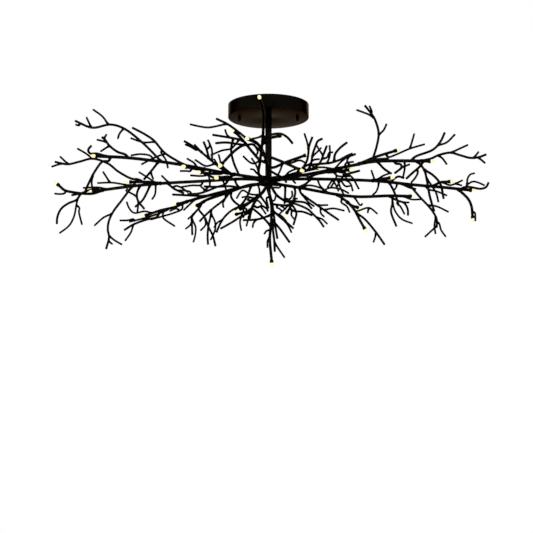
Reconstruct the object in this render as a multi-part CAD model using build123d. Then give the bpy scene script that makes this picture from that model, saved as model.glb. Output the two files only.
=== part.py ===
from build123d import *
import math
import os

# Overall sizes, in millimetres. The ceiling is the plane z = 0 and the stem stands on the z axis.
overall_width = 914.0
stem_drop = 136.4

# Canopy: a spun steel pan, open to the ceiling.
canopy_d = 170.0
canopy_depth = 28.0
canopy_wall = 1.2
canopy_edge = 2.0

# Mounting crossbar on the ceiling box.
bar_length = 138.0
bar_width = 20.0
bar_thickness = 2.5
box_screw_spacing = 88.9
box_slot_width = 4.8
box_slot_length = 15.0
bar_eye_d = 11.0

# Studs and cap nuts that hold the canopy up against the ceiling.
stud_spacing = 122.0
stud_d = 4.0
stud_length = 32.6
stud_nut_flats = 7.0
stud_nut_height = 3.2
cap_nut_flats = 6.4
cap_nut_height = 7.2
cap_nut_bore_depth = 5.0

# Earth screw in the crossbar.
earth_screw_x = 24.0
earth_screw_d = 4.0
earth_head_d = 8.0
earth_head_height = 2.4

# Lamp driver on the canopy's floor.
driver_length = 74.0
driver_width = 32.0
driver_height = 17.0
driver_inset = 24.0
driver_corner = 3.0

# Stem, with the threaded nipple that clamps it to the canopy.
stem_d = 13.7
stem_wall = 1.8
nipple_length = 33.0
nipple_bore = 6.4
nipple_projection = 2.0
nut_flats = 14.0
nut_height = 5.0
nut_seat_d = 19.0
nut_seat_height = 1.6

# Hub that every arm is welded to.
hub_d = 32.0
hub_height = 14.0
hub_socket_depth = 7.0
hub_cap_d = 11.0
hub_cap_height = 10.0

# Rod gauges: wired arm tubes, wired side tubes, bent twigs and thin tip twigs.
arm_d = 6.35
stub_d = 5.56
twig_d = 4.76
tip_d = 3.97

# Flat sides of each bar, and of the sockets and lenses.
arm_sides = 8
stub_sides = 6
twig_sides = 5
tip_sides = 4
lamp_sides = 6

# Lamps: a socket on the end of each wired tube and a lens in the socket.
socket_wall = 0.7
socket_length = 7.0
lens_d = 6.8
lens_length = 8.2
lens_taper = 0.6

# Fits.
clearance = 0.1
seat_gap = 0.03

# Front view sheet: across to the right and down, in sheet units, with the hub's centre at sheet_hub.
# The sheet is seen from below. Depths are in millimetres away from the viewer, at the drawn width.
sheet_hub = (268.5, 181.0)
sheet_scale = 2.09
sheet_tilt = 14.0
sheet_distance = 4000.0
drawn_width = 914.0

# Knees of twigs that leave their parent at a low angle.
knee_limit = 0.55
knee_clear = 2.2
knee_lean = 0.9

# Branch rows: label, parent, gauge, springing point on the sheet, then bends as across, down, depth.
# A bend's depth is counted from the rod's springing point, and from the hub for an arm.

# Left front arm: wired tube to the left and forward, with the tall sprig above it.
left_front = [
    ("main", "hub", "arm", (268.5, 179.3), (226, 173, -45), (180, 164.5, -100), (130, 158, -150),
     (98, 156.2, -190)),
    ("a", "main", "twig", (164, 161.6), (143, 143, -15), (124, 128.5, -30), (111, 124.7, -35),
     (93, 127.8, -30), (75.5, 121, -20)),
    ("a1", "a", "tip", (110, 124.7), (103, 116.8, -15), (93.4, 109.6, -30)),
    ("a2", "a", "tip", (93, 127.5), (87, 117.6, 15)),
    ("a3", "a", "tip", (82, 124), (76, 124.7, 10)),
    ("a4", "a", "tip", (124, 129), (119.8, 133.8, -12), (118.2, 138.6, -22)),
    ("b", "main", "twig", (186, 165.5), (165, 153, 10), (154, 140.5, 25), (145, 134.3, 35),
     (132.6, 127.8, 45)),
    ("b1", "b", "tip", (156, 142.6), (143.5, 142.4, 22), (131, 138.2, 35)),
    ("b2", "b", "tip", (167, 154.2), (155, 157.5, 20), (141.5, 164.5, 30)),
    ("b3", "b", "tip", (162, 150), (166.5, 161, -22), (168, 168, -30)),
    ("c", "main", "twig", (130, 158), (118, 152, -8), (110, 146, -15), (105, 139.5, -18),
     (102, 137, -20)),
    ("c1", "c", "tip", (104.6, 139), (106.8, 134.6, 8)),
    ("c2", "c", "tip", (107.6, 143), (97.4, 139.8, 15)),
    ("c3", "c", "tip", (110, 146), (101, 151.4, -18)),
    ("d", "main", "twig", (108, 156.7), (97, 153.6, 8), (90.3, 153.4, 10), (88.5, 150, 8),
     (91.8, 145.6, 2)),
    ("e", "main", "twig", (112, 157), (103, 161.5, -10), (95, 171.5, -22), (88.5, 184, -32),
     (85.5, 191, -36)),
    ("e1", "e", "tip", (93, 175), (91.8, 183, 12), (93, 189.5, 22)),
    ("f", "main", "tip", (155, 160.7), (150, 155.6, 12), (140, 154.2, 18), (131, 155.5, 20)),
    ("g", "main", "twig", (159.4, 161.2), (151, 171.5, -14), (144, 179.5, -22)),
    ("g1", "g", "tip", (151, 171.5), (153.4, 179, -10)),
    ("h", "main", "tip", (197.5, 167.8), (187, 158.5, -12)),
    ("i", "main", "stub", (206, 169.4), (196, 169, -28), (188, 167.4, -38)),
    ("i1", "i", "tip", (193, 168.4), (187, 171, -10), (180, 171, -14)),
    ("j", "main", "stub", (223, 172.5), (211, 173.6, -34), (202, 172.6, -54)),
    ("j1", "j", "tip", (211, 172.6), (200, 176, -8), (190.3, 175.3, -14)),
    ("k", "main", "tip", (211, 170.2), (208.6, 174.8, -9), (209.6, 179.2, -4)),
]

# Left spur: a side tube off the left front arm that carries the fan of twigs above the hub.
left_spur = [
    ("main", "left_front.main", "stub", (237, 175.5), (230, 173, -26), (223, 167.3, -48)),
    ("a", "main", "twig", (229, 172.2), (218, 166, -16), (209, 158.6, -32), (200, 151, -48),
     (192, 145.6, -55), (184, 141, -58)),
    ("a1", "a", "tip", (199, 150), (192, 147.5, -12), (185.4, 144.5, -24)),
    ("a2", "a", "tip", (202.2, 152.6), (194.6, 144.6, 12)),
    ("a3", "a", "twig", (209.5, 158.8), (206.6, 149, 10), (203.7, 141.8, 14)),
    ("a4", "a3", "tip", (206.8, 149.6), (209.6, 143.6, 10), (208, 140, 14)),
    ("a5", "a", "tip", (213, 161.6), (212, 150, -12), (209.4, 142.6, -16)),
    ("a6", "a", "tip", (216, 164.6), (206, 166, -14), (195, 159.7, -26)),
    ("a7", "a", "tip", (219, 166.6), (214.2, 159.2, 14)),
    ("a8", "a", "tip", (221, 167.6), (220.5, 162, 16), (218.7, 154.4, 22)),
    ("b", "main", "stub", (234, 175), (227, 176.8, -14), (221, 177.4, -20)),
    ("b1", "b", "twig", (228, 176.6), (218, 178.9, 10), (209, 175.6, 12), (201.6, 172.2, 10)),
]

# Left arm: the long level arm, with the lowest left sprigs.
left = [
    ("main", "hub", "arm", (268.5, 179.3), (240, 179, 8), (205, 181, 25), (160, 183.5, 55),
     (129, 186.5, 75), (95.5, 191, 95)),
    ("a", "main", "twig", (100.2, 190.3), (90, 190, 16), (81, 193.2, 14), (71.5, 195.2, 8)),
    ("a1", "main", "stub", (104.8, 189.8), (92, 193.6, -10), (72, 192, -14), (64.5, 190, -16),
     (59.6, 185.8, -18)),
    ("a2", "a1", "tip", (67, 191), (64.5, 193.3, -8), (60.5, 194, -12), (54.5, 193.5, -12)),
    ("a3", "a", "twig", (82, 193), (76.8, 199.6, 12), (68, 203.5, 18), (61, 209, 22),
     (57.4, 217, 24), (56.8, 224, 24)),
    ("a4", "a3", "tip", (77.2, 199), (76.4, 205, -12), (73.8, 217, -20), (69, 225.6, -24),
     (59.3, 233.2, -26)),
    ("a5", "a4", "tip", (76.5, 204.6), (79, 212, -10), (82, 224.6, -16)),
    ("b", "main", "tip", (109, 189), (99, 187.4, -12), (83, 187.8, -20)),
    ("c", "main", "twig", (134, 186), (122, 200, 10), (113, 212, 16), (108.6, 222, 18),
     (107.8, 230, 18), (109, 237, 16), (106, 249, 14)),
    ("c1", "c", "tip", (108.8, 235), (114.5, 240.2, 12), (122, 244.6, 22)),
    ("c2", "c", "tip", (108.4, 239.6), (112.2, 244, -10)),
    ("c3", "c", "tip", (113, 212), (104, 217.2, -10), (94.3, 225.6, -18)),
    ("d", "main", "stub", (163, 183.3), (150, 182, -14), (132.5, 182, -18)),
    ("d1", "d", "twig", (141.5, 182), (131, 178.4, 7), (118, 171.2, 12), (108.6, 163.8, 12),
     (93, 158.7, 4), (80, 161.6, -6), (68, 164.2, -8), (55, 161.8, -4)),
    ("d2", "d1", "tip", (93.5, 158.8), (86, 153.4, 14), (77.7, 148.6, 24)),
    ("d3", "d1", "tip", (70, 163.7), (60.4, 156.6, 16)),
    ("d4", "d1", "tip", (62, 163.2), (52, 166.7, -14)),
    ("d5", "d", "tip", (137, 182), (129, 185, -7), (112, 182.6, -8), (97.4, 183, -8)),
    ("d6", "d5", "tip", (110.5, 182.4), (103, 171.4, -8)),
    ("e", "main", "tip", (159, 183.6), (148, 177.6, 12), (139, 172, 22)),
    ("f", "main", "tip", (146.6, 184.9), (142, 180.6, 16), (135.6, 178.5, 24)),
    ("g", "main", "tip", (170.6, 182.9), (161.6, 175.4, -10)),
    ("h", "main", "twig", (152.2, 184.2), (147, 192.4, 12), (142.4, 200.4, 20), (135, 207, 24)),
    ("i", "main", "tip", (155.6, 183.9), (155, 194.6, -12), (152, 199.4, -16)),
    ("j", "main", "twig", (141, 185.4), (137, 194, -12), (138, 200.5, -18), (144.5, 209, -20)),
    ("j1", "j", "tip", (137.2, 196.5), (129, 192, -10), (126.2, 190.8, -12), (128, 188.4, -14)),
    ("j2", "j", "tip", (138, 201), (137.4, 212, -12)),
    ("k", "main", "twig", (166, 183.2), (174, 188.6, -14), (184, 193.3, -20)),
    ("k1", "k", "tip", (172, 187.2), (182, 188, -12), (188.4, 192.4, -14)),
    ("l", "main", "tip", (204, 181), (192, 185.4, 12), (180, 187.2, 18)),
    ("m", "main", "twig", (230.6, 179.4), (225, 184.4, 14), (217, 187, 22), (208, 190.6, 28),
     (199, 193.4, 32), (187.5, 194.2, 36)),
    ("n", "main", "twig", (234.4, 179.3), (236.6, 184.2, -14), (240.4, 188.4, -20)),
    ("o", "main", "tip", (210, 180.7), (209.4, 186.2, -12), (203.4, 190.6, -18)),
    ("p", "m", "tip", (209.4, 190), (203.6, 188.8, 10), (200.4, 185.8, 14)),
    ("q", "main", "tip", (222, 179.9), (224.6, 184.8, -18), (226.4, 190.6, -28)),
]

# Left back arm: drops towards the back, with a second wired tube beyond its lamp.
left_back = [
    ("main", "hub", "arm", (268.5, 182.7), (237, 188.4, 30), (205, 196.4, 90), (179.5, 203.6, 140)),
    ("a", "main", "stub", (188, 201.3), (176, 206.6, -12), (160, 210.5, -6), (148, 214.6, 2)),
    ("a1", "a", "twig", (162, 210), (156.4, 217.2, 22), (147, 219.4, 24), (133, 224.6, 27),
     (124, 230.2, 31)),
    ("a2", "a1", "tip", (133.5, 224.4), (131, 232, -12), (125, 240.8, -19)),
    ("a3", "a", "tip", (153.2, 212.6), (145, 211.2, 12), (134, 212.8, 16), (129.4, 208.4, 16),
     (126.6, 201.5, 14)),
    ("a4", "a", "tip", (170.6, 208.2), (157, 214.2, -10), (143, 218.4, -12), (129, 221.8, -14)),
    ("a5", "a4", "tip", (136, 220.2), (128, 220.2, -8), (119.6, 220.4, -12)),
    ("a6", "a", "tip", (165.6, 209.2), (163, 217.2, 14), (175, 226.3, 26)),
    ("b", "main", "tip", (183, 202.6), (182, 209, 12), (174, 212.8, 18), (162, 216.4, 22),
     (150.5, 219.6, 24)),
    ("b1", "b", "tip", (180, 210), (169.5, 211.2, 10)),
    ("c", "main", "tip", (196, 199), (183.6, 210.2, -12)),
    ("d", "main", "twig", (206, 196.2), (190, 195.4, -14), (172.3, 194.5, -24)),
    ("d1", "d", "tip", (193, 195.4), (186, 190.8, -10), (178, 190.2, -16)),
    ("e", "main", "twig", (232, 189.5), (231.4, 197.4, -16), (236.5, 203.5, -22), (247, 209.4, -26)),
    ("f", "main", "tip", (226, 191.4), (225.2, 198.8, -12), (223, 203, -16), (223.6, 207.6, -18)),
    ("g", "main", "twig", (252, 185.4), (247, 196.6, -16), (240.4, 205.6, -24), (234.6, 209.8, -28)),
    ("h", "main", "twig", (241, 187.6), (230, 186.2, -18), (216, 186.8, -26), (204, 186.4, -32)),
    ("i", "main", "tip", (257.4, 184.5), (259.4, 189.4, -13), (259.6, 195, -18)),
]

# Back left arm: short, with hanging twigs.
back_left = [
    ("main", "hub", "arm", (268.5, 182.7), (250.5, 184.9, 48), (228, 192.5, 130),
     (206, 200.2, 205), (198.5, 204.6, 228)),
    ("a", "main", "twig", (202, 202.5), (196.4, 211, 14), (192, 217, 20), (192, 226, 24),
     (192.3, 235.2, 28)),
    ("a1", "a", "tip", (192.1, 218), (195.6, 227, -12), (195.2, 235, -15), (193.3, 242.3, -16)),
    ("a2", "a", "tip", (192, 223), (189.6, 225.6, 10), (185.4, 229, 16)),
    ("a3", "a", "tip", (194.5, 213.4), (188, 219, -12)),
    ("b", "main", "twig", (204.4, 201.2), (198.6, 208.4, -14), (204.6, 217, -20), (209, 228, -24),
     (212.6, 235, -26), (215.5, 246.2, -28)),
    ("b1", "b", "tip", (204.8, 217.6), (205.4, 225, 12), (200.4, 230.6, 20)),
    ("c", "main", "twig", (231, 191.6), (225, 198.6, 14), (212, 209.2, 24), (204, 216.6, 30),
     (199.4, 221.6, 34)),
    ("c1", "c", "twig", (212, 209.2), (210.8, 215, 12), (208.4, 226, 18), (207.6, 236, 20),
     (208, 244.6, 20)),
    ("c2", "c1", "tip", (211, 214), (215, 222, -12), (215, 230, -18), (210.6, 240, -20)),
]

# Low back arm: drops to the back and left under the hub.
back_low = [
    ("main", "hub", "arm", (268.5, 182.7), (263, 192, 62), (257, 196.8, 100), (250, 202.2, 140),
     (241.5, 208.2, 182)),
    ("a", "main", "twig", (249, 203), (240, 206.2, 4), (230, 211.6, 14), (222, 220.4, 24),
     (216.3, 232.6, 28)),
    ("a1", "a", "tip", (223, 219), (217.5, 222.5, -12), (214, 227.4, -18)),
    ("b", "main", "tip", (243.4, 207), (243, 212, -12), (241.2, 216, -18)),
    ("c", "main", "tip", (259, 195.2), (250, 194, -14), (242.6, 190.4, -20), (236.4, 198.6, -22)),
    ("d", "main", "tip", (255.6, 197.9), (247, 196.6, 14), (241.8, 197.4, 20)),
    ("e", "main", "tip", (252, 200.7), (247.6, 199.8, -24), (250.6, 196.6, -32)),
]

# Back arm: runs straight back behind the hub.
back = [
    ("main", "hub", "arm", (268.5, 179.3), (265.4, 187.8, 55), (260.6, 194.4, 108),
     (255.6, 200.4, 155), (252, 208, 205), (249.5, 216.4, 250)),
    ("b", "main", "twig", (250.6, 212.6), (246, 214.2, -14), (241, 216.4, -22), (233, 221.6, -32),
     (220.4, 228.7, -42)),
    ("b1", "b", "tip", (241, 216.4), (240, 222.6, 12), (241.4, 230.8, 18)),
    ("b2", "main", "stub", (251.8, 208.6), (244, 212.2, 18), (238, 213.8, 28)),
    ("c", "main", "tip", (249.9, 215), (247.8, 220.8, -12), (246.4, 226.2, -16)),
    ("f", "main", "twig", (259.4, 195.8), (263, 199.6, -14), (266.6, 205, -20), (267.8, 211.6, -22)),
    ("g", "b2", "tip", (246.2, 211.2), (245.2, 213.6, 16), (243, 217.6, 26)),
    ("h", "main", "twig", (253.4, 205), (257.4, 207.4, 14), (262, 205.8, 20), (267.2, 209, 24)),
    ("i", "h", "tip", (261, 206.2), (263.2, 210, -10), (266, 214, -14)),
    ("j", "main", "tip", (255, 201.6), (258, 200.6, 14), (262, 204.6, 18)),
]

# Back right arm: a side tube's gauge, with the spray under the hub's right side.
back_right = [
    ("main", "hub", "stub", (268.5, 182.7), (276, 194.2, 62), (284, 200.3, 118),
     (290.4, 203.2, 160), (290, 207.4, 172), (287.8, 211.2, 180)),
    ("a", "main", "twig", (288.6, 202.4), (298, 204.8, 16), (308, 209.4, 28), (314, 215, 36),
     (319, 220, 42), (324, 227.2, 48)),
    ("a1", "a", "tip", (316.5, 217.4), (322, 219, -10), (327.4, 224, -16)),
    ("c", "main", "twig", (285.4, 201), (296, 201.4, -14), (306, 203, -20), (312, 208.8, -24)),
    ("c1", "c", "tip", (293.4, 201.5), (297.6, 198.8, -12)),
    ("d1", "main", "twig", (289.7, 208), (294, 211, 12), (303, 211.8, 20), (312.6, 215.5, 24)),
    ("d2", "main", "twig", (290.3, 204.6), (294.4, 208.2, -14), (296.4, 213.4, -20),
     (295, 219.6, -22), (293.4, 225, -24)),
    ("d4", "d1", "tip", (291.4, 209.4), (291.4, 215.2, 10), (294.6, 219.4, 16)),
]

# Right back arm: level, with a hanging side tube half way along.
right_back = [
    ("main", "hub", "arm", (268.5, 182.7), (300, 187.8, 45), (336.5, 194.4, 105),
     (358, 196.7, 140), (390, 195.8, 185), (408.5, 196.2, 205)),
    ("a", "main", "twig", (391, 195.8), (392.4, 203, 12), (391, 211.5, 18), (396.5, 226.6, 22)),
    ("a1", "a", "tip", (392.2, 201.4), (395.4, 211.6, -12), (401.6, 219, -18), (412.6, 223.5, -22)),
    ("b", "main", "twig", (388, 195.9), (397, 200.4, -14), (404, 203, -18), (407.6, 209, -20),
     (408, 215.6, -20)),
    ("b1", "b", "tip", (402, 202.2), (409, 202.4, 10)),
    ("b2", "b", "tip", (397, 200.4), (400, 206, -12), (404.6, 214.3, -18)),
    ("c", "main", "tip", (402, 196), (411.5, 199.4, -9), (421, 199.4, -10)),
    ("d", "main", "stub", (337, 194.4), (346, 201, -14), (354, 209.4, -18), (360, 220.4, -14),
     (363.4, 226.4, -12)),
    ("d2", "d", "twig", (355.5, 212.2), (364, 218.4, -12), (375.5, 231.6, -16), (384.8, 244.8, -18)),
    ("d3", "d2", "tip", (375.6, 231.8), (375.2, 237, 8), (373.4, 242.5, 12)),
    ("e", "d", "stub", (347, 202), (351.5, 205.4, 14), (355.6, 206.8, 18)),
    ("e1", "e", "tip", (349.6, 204), (355.6, 210.8, 4), (369, 207.8, 5), (377.6, 213.9, 4)),
    ("e2", "e1", "tip", (369, 207.8), (367.6, 213, 8)),
    ("f", "main", "tip", (353, 196.2), (360.6, 205.4, 14), (362.4, 203.4, 16)),
    ("g", "d", "tip", (341.4, 197.6), (347, 206.6, -12), (349.8, 212.6, -14)),
    ("h", "main", "tip", (321, 191.6), (330, 187.8, -14), (341, 189.4, -18), (349, 193.4, -20)),
    ("i", "main", "tip", (302.8, 188.3), (308, 185.4, -14), (319, 187.4, -20), (330, 193.6, -26)),
    ("j", "main", "twig", (297, 187.3), (301, 193.2, 14), (306, 197.2, 22), (317, 205, 30),
     (327, 212, 36), (339, 220.2, 40)),
    ("j1", "j", "tip", (316.5, 204.6), (328, 205, 12)),
    ("j2", "j", "tip", (323, 209.2), (333, 208.4, -12), (344.5, 210.7, -20)),
    ("j3", "j", "tip", (319.8, 207), (320.8, 213, 14), (324.4, 217, 18)),
    ("k", "main", "twig", (294.6, 187), (295.2, 193.4, -14), (292.8, 202.4, -20)),
    ("l", "main", "twig", (285.2, 185.6), (285.2, 192, -14), (284.6, 203.6, -22)),
    ("m", "l", "tip", (284.9, 198.6), (289.4, 199, -8), (292.2, 196, -12), (291.8, 190.6, -14)),
    ("n", "main", "tip", (281.6, 185), (279.4, 187.6, -14), (273.4, 187.4, -22)),
    ("j4", "j", "tip", (302, 194), (307.6, 201.4, -9), (314.4, 206.6, -12)),
]

# Right arm: the long level arm, with the lowest right sprigs.
right = [
    ("main", "hub", "arm", (268.5, 179.3), (300, 179, 8), (336, 179.4, 24), (379, 181.2, 42),
     (413, 184.8, 54), (443, 187.4, 62), (468.5, 190, 68)),
    ("a", "main", "twig", (460.5, 189.2), (469, 187, 11), (481, 188.8, 12), (486, 187, 10),
     (488.5, 182.2, 6)),
    ("b", "main", "tip", (464, 189.6), (467.6, 184.4, -10), (473, 181.6, -14), (479, 183, -16),
     (484.6, 185.6, -18)),
    ("b1", "b", "tip", (466.6, 185.8), (467.4, 178.6, 10), (470, 174.6, 14), (474.6, 173.2, 16)),
    ("c", "main", "stub", (456.6, 188.7), (468, 199, -10), (471.4, 206.4, -14), (472.4, 215.6, -16)),
    ("c1", "c", "tip", (472, 211), (475.2, 215.4, -7), (475.4, 221.2, -8)),
    ("d", "main", "stub", (431, 186.2), (440, 182.4, -14), (447.5, 181.8, -20)),
    ("d1", "d", "tip", (441, 182.4), (450, 185.2, 6), (457, 182.8, 8), (462.6, 180.2, 8)),
    ("d2", "d1", "tip", (454.4, 183.8), (461.6, 185.6, -10)),
    ("e", "main", "twig", (406.5, 184.1), (419, 196.2, 12), (431, 209.2, 18), (436.6, 219, 20),
     (436.7, 227.4, 20)),
    ("e1", "e", "tip", (436.7, 225.8), (431, 231.2, 10), (424.8, 237, 16)),
    ("e2", "e", "tip", (434.8, 215.8), (434.4, 226, -12), (435.6, 234, -15)),
    ("e3", "e", "tip", (436.5, 221.2), (441, 229.8, -9), (445.9, 236.8, -12)),
    ("e4", "e", "tip", (427, 205), (436, 206.2, -10), (448.6, 212, -18)),
    ("f", "main", "twig", (400, 183.4), (409, 187.4, -14), (416, 189.3, -18)),
    ("g", "main", "tip", (425, 186), (436, 191.2, 12), (447, 195.6, 20)),
    ("h", "main", "stub", (370.6, 180.9), (380, 179.2, -16), (387.5, 178.2, -20)),
    ("h1", "h", "tip", (377.6, 179.6), (383, 175.8, 11), (390, 173.2, 15)),
    ("h2", "h", "twig", (381.6, 179), (390, 181.4, 8), (398, 176.6, 6), (404, 178.2, 2)),
    ("i", "main", "tip", (378.6, 181.2), (378, 187, 10), (376, 191.8, 14), (372.4, 195, 16)),
    ("j", "main", "tip", (375, 181), (371.2, 170.3, 10)),
    ("k", "main", "twig", (388, 182), (393.2, 190, -12), (396.8, 199, -18), (398.8, 206, -20)),
    ("l", "main", "tip", (396.4, 183), (396, 187.4, 12), (393.8, 190.4, 20)),
    ("m", "main", "tip", (345, 179.8), (350.6, 184, -14), (352.8, 191.2, -18)),
    ("n", "main", "tip", (337.2, 179.4), (340.5, 188, 14), (345, 197, 24)),
    ("o", "main", "tip", (334, 179.3), (330, 183.4, -12), (327.4, 187.6, -16)),
    ("p", "main", "twig", (313, 179.2), (306, 183.6, -12), (297, 187.8, -18)),
    ("q", "main", "tip", (340, 179.5), (346, 186.4, -22), (350.4, 185.8, -28)),
    ("s", "main", "tip", (329.4, 179.3), (335.6, 184.6, 13), (338.6, 191.4, 20)),
    ("t", "main", "tip", (317, 179.2), (320, 185.6, -14), (325.4, 191, -20)),
]

# Right front arm: to the right and forward, with the tallest sprig.
right_front = [
    ("main", "hub", "arm", (268.5, 179.3), (300, 175.6, -42), (330, 170, -85), (352, 165.6, -112),
     (373, 161.7, -132), (398, 160.9, -150), (427.5, 161.2, -170)),
    ("a", "main", "twig", (418.6, 161.2), (431, 158.6, 9), (438, 155.4, 9), (450, 152.8, 4),
     (460, 155.4, -4), (470, 158, -8), (478, 157.4, -8), (486, 154.5, -6)),
    ("a1", "a", "tip", (450, 152.8), (458, 149.4, 10), (467.6, 145, 18)),
    ("a2", "a", "tip", (472.4, 157.9), (478.2, 152, 12)),
    ("a3", "a", "tip", (477, 157.5), (484.8, 163.2, -10)),
    ("a4", "a", "tip", (437, 155.8), (442.4, 158.8, -12), (446.6, 164.5, -18)),
    ("b", "main", "twig", (410.4, 161), (433, 149.6, -12), (440, 142, -16), (444.5, 132.6, -18)),
    ("b1", "b", "tip", (436, 146.4), (446, 142.8, -10), (454.8, 134.4, -18)),
    ("c", "main", "twig", (371, 162), (376.6, 146, 10), (378.4, 133, 16), (374.6, 119.6, 18),
     (370, 112.5, 18), (364.4, 105.6, 16)),
    ("c1", "c", "tip", (371.5, 114.8), (369.2, 106.2, 10)),
    ("c2", "c", "tip", (374.2, 119), (368, 114.6, -10), (356.2, 110.1, -18)),
    ("c3", "c", "tip", (378, 136), (383.6, 130, -12), (386.4, 123.9, -18)),
    ("d", "main", "stub", (356, 164.8), (375, 157.2, 12), (393.5, 151.4, 22)),
    ("d1", "d", "tip", (384, 154.4), (396, 154.6, 8), (409, 149, 10), (424.6, 144.3, 12)),
    ("d2", "d1", "tip", (409, 148.2), (414, 133.9, 10)),
    ("e", "main", "tip", (364, 163.4), (376, 159.4, -22), (388.6, 158.4, -36)),
    ("f", "main", "twig", (393, 161), (400.4, 164.4, -12), (401.2, 167.6, -16), (394.4, 173.4, -20)),
    ("f1", "f", "tip", (401, 167), (409.6, 164.4, -12)),
    ("g", "main", "tip", (404, 161), (404.6, 168, 12), (403, 177, 20)),
    ("h", "main", "twig", (414.2, 161.1), (421, 165.6, 12), (424.6, 171.4, 16), (427.6, 185, 18),
     (429.6, 196, 16), (434.2, 211.4, 12)),
    ("h1", "h", "twig", (423, 168.2), (433, 175.4, -12), (440, 183.6, -18), (443.6, 198.8, -22)),
    ("h2", "h", "tip", (425.8, 177), (432, 186.4, 12), (436, 193, 16), (438.4, 202.2, 18)),
    ("i", "main", "twig", (423.4, 161.2), (420, 166.2, -14), (413, 172.4, -20), (406, 178.8, -24)),
    ("i1", "i", "tip", (417, 169), (415, 178, -10), (411, 182.6, -14)),
    ("j", "main", "twig", (375.6, 161.7), (384, 168.9, -12), (391.4, 173.8, -20)),
    ("k", "main", "stub", (326, 170.8), (338, 171.4, -30), (347.6, 170.2, -46)),
    ("k1", "k", "twig", (341.4, 171), (351, 173, -10), (360, 170.6, -14)),
    ("k2", "k", "tip", (337.6, 171.4), (351, 176.4, 8), (359, 189.2, 18)),
    ("l", "main", "tip", (351, 165.8), (347, 160.8, 12), (352, 153.4, 22)),
    ("m", "main", "tip", (344.4, 167.1), (353.6, 161.8, -18)),
    ("n", "main", "tip", (335.4, 168.9), (340.4, 162.4, 12), (347, 157.2, 18)),
    ("o", "main", "tip", (332.4, 169.5), (336.4, 176, 13), (333.4, 183, 18), (330.6, 187.6, 20)),
    ("p", "main", "tip", (340, 168), (343.4, 174.6, 13), (340, 181, 20), (336.4, 188, 24)),
    ("q", "main", "tip", (348, 166.4), (345, 173.6, 14), (346.6, 180.4, 18)),
    ("k3", "k", "tip", (333.2, 171.2), (340, 176.4, -8), (350.4, 176.2, -10)),
]

# Front right arm: short, with the upright fan of twigs.
front_right = [
    ("main", "hub", "arm", (268.5, 182.7), (285, 176.6, -62), (302, 171.6, -105), (316, 168.2, -135)),
    ("a", "main", "twig", (308, 170.2), (317, 164.2, -20), (331, 162.8, -30), (343, 158.6, -40),
     (355.8, 154, -46)),
    ("a1", "a", "tip", (342, 159), (346.4, 156, 10), (352.4, 153.4, 14)),
    ("a2", "a", "twig", (333.6, 162), (335, 154.4, -12), (340.4, 147.6, -22), (347.2, 142.4, -28)),
    ("a3", "a", "tip", (326.4, 163.4), (329.8, 155, 12), (329.5, 145.4, 18)),
    ("b", "main", "twig", (313.2, 168.9), (320, 162.6, 17), (323.6, 154, 23), (326.8, 145.8, 27)),
    ("b1", "b", "tip", (321.4, 160), (327, 157.4, 4), (329, 153, 8), (333, 152.3, 10)),
    ("b2", "b", "tip", (322.9, 155.8), (319.6, 150.6, 10), (316.6, 145.6, 14)),
    ("c", "main", "twig", (303.5, 171.2), (311, 163, -28), (312.4, 155, -36), (315.4, 146.4, -42),
     (317.6, 141.4, -46), (322.6, 138.6, -48)),
    ("c1", "c", "tip", (312.4, 157), (316.6, 152.6, 10), (321.2, 147.8, 16)),
    ("c2", "c", "tip", (312, 162), (315, 159.6, -10), (319.4, 159.2, -16)),
    ("d", "main", "twig", (296, 173.2), (303, 167.4, -10), (307, 160.4, -22), (308.2, 154, -32),
     (308.9, 147, -38), (312.4, 136.8, -44)),
    ("d1", "d", "tip", (308.5, 151), (307, 142, 12), (304.3, 133.5, 16)),
    ("e", "main", "tip", (286, 176.3), (289, 172, 16), (296.4, 168.8, 24)),
    ("f", "main", "tip", (299.4, 172.3), (306, 176, -14), (314, 178.6, -20)),
    ("g", "main", "tip", (292, 174.4), (292.4, 179.4, -16), (295.6, 183.4, -22)),
    ("h", "f", "tip", (309, 177.1), (316, 174.6, -12), (324, 173, -18), (332, 171.4, -22)),
    ("j", "c", "tip", (309.2, 165), (315, 167.2, -26), (324, 167.4, -36), (332.6, 168.8, -40)),
]

# Front arm: a side tube's gauge, runs straight at the viewer in front of the stem.
front = [
    ("main", "hub", "stub", (268.5, 179.3), (259.4, 175, -34), (260, 162, -105),
     (261.8, 148, -180), (263.3, 130, -262), (263.2, 112, -335), (260, 99.6, -392)),
    ("a", "main", "stub", (261, 154.6), (272, 157.8, -12), (285, 163, -18), (297.4, 168.6, -22)),
    ("a1", "a", "tip", (286, 163.4), (292, 162.8, -12), (300, 160.4, -18), (306, 163.4, -20)),
    ("c", "main", "twig", (262.8, 138), (272, 134.6, -14), (281, 134, -20), (287, 137.2, -22),
     (292.8, 143.8, -24)),
    ("d", "main", "stub", (262.6, 141), (270, 138.2, 16), (278, 136.4, 24)),
    ("e", "main", "tip", (260.2, 160.4), (254, 163.6, -14), (250, 162.4, -18), (243, 156, -24)),
    ("f", "main", "tip", (259.7, 170), (255.6, 164.2, 14), (251.6, 158.2, 22)),
    ("g", "main", "tip", (259.5, 175.2), (256, 172.4, 14), (254, 169.8, 18), (250.2, 169, 20)),
    ("h", "main", "tip", (262.4, 145), (267.4, 142.6, -14), (270.4, 141.8, -18)),
    ("j", "main", "tip", (263, 134.4), (257.6, 137.8, 14), (251.8, 139, 22)),
]

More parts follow.
